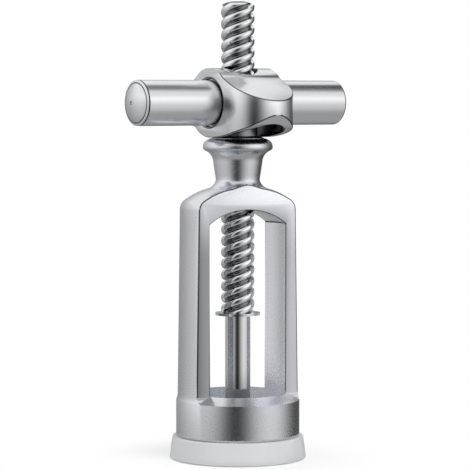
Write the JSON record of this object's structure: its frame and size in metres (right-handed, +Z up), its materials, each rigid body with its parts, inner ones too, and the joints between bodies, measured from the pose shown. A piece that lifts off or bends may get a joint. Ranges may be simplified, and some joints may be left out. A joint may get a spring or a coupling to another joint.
{
  "type": "corkscrew",
  "caption": "Bell corkscrew with a two-bar T handle, coarse threaded spindle, sheathed worm, open windowed frame and frosted plastic seat ring.",
  "frame": {"origin": "centre of the seat ring's underside, on the spindle's axis", "axes": "+Z up along the spindle, X across the two legs, -Y out of the front flat; the handle lies 10 degrees off X"},
  "size_m": [0.0898, 0.0494, 0.1645],
  "materials": {
    "satin_frame": "satin pearl plating",
    "satin_handle": "satin pearl plating",
    "polished_steel": "polished",
    "turned_steel": "turned",
    "black_steel": "blackened steel",
    "bronze": "plain",
    "guide_plastic": "matte",
    "frosted_plastic": "frosted, lets light through",
    "rubber": "matte"
  },
  "bodies": {
    "frame": {"bell_frame": "satin_frame", "seat_ring": "frosted_plastic", "spindle_bush": "guide_plastic", "thrust_washer": "bronze", "crown_ring": "satin_frame"},
    "handle": {"hub_shell": "satin_handle", "drive_nut": "black_steel", "swivel_sleeve": "turned_steel", "left_bar_tube": "satin_handle", "right_bar_tube": "satin_handle", "left_bar_plug": "turned_steel", "right_bar_plug": "turned_steel", "left_end_cap": "satin_handle", "right_end_cap": "satin_handle", "handle_studs": "turned_steel", "stud_washers": "turned_steel"},
    "stop_washer": {"stop_washer": "polished_steel"},
    "spindle": {"spindle": "polished_steel", "worm": "polished_steel", "worm_pin": "turned_steel", "sheath_o_ring": "rubber"},
    "sheath": {"sheath_tube": "polished_steel", "sheath_tip": "polished_steel"}
  },
  "joints": [
    {"name": "handle_turn", "type": "hinge", "parent": "frame", "child": "handle", "pos_m": [0, 0, 0.11], "axis": [0, 0, 1], "continuous": true},
    {"name": "spindle_lift", "type": "slide", "parent": "handle", "child": "stop_washer", "axis": [0, 0, 1], "range_m": [-0.022, 0.036]},
    {"name": "spindle_turn", "type": "hinge", "parent": "stop_washer", "child": "spindle", "pos_m": [0, 0, 0.0527], "axis": [0, 0, 1], "range_deg": [-650, 1060]},
    {"name": "sheath_pull", "type": "slide", "parent": "spindle", "child": "sheath", "axis": [0, 0, -1], "range_m": [0, 0.052]}
  ],
  "couplings": [
    {"joint": "spindle_turn", "follows": "spindle_lift", "rad_per_m": 510.83}
  ]
}
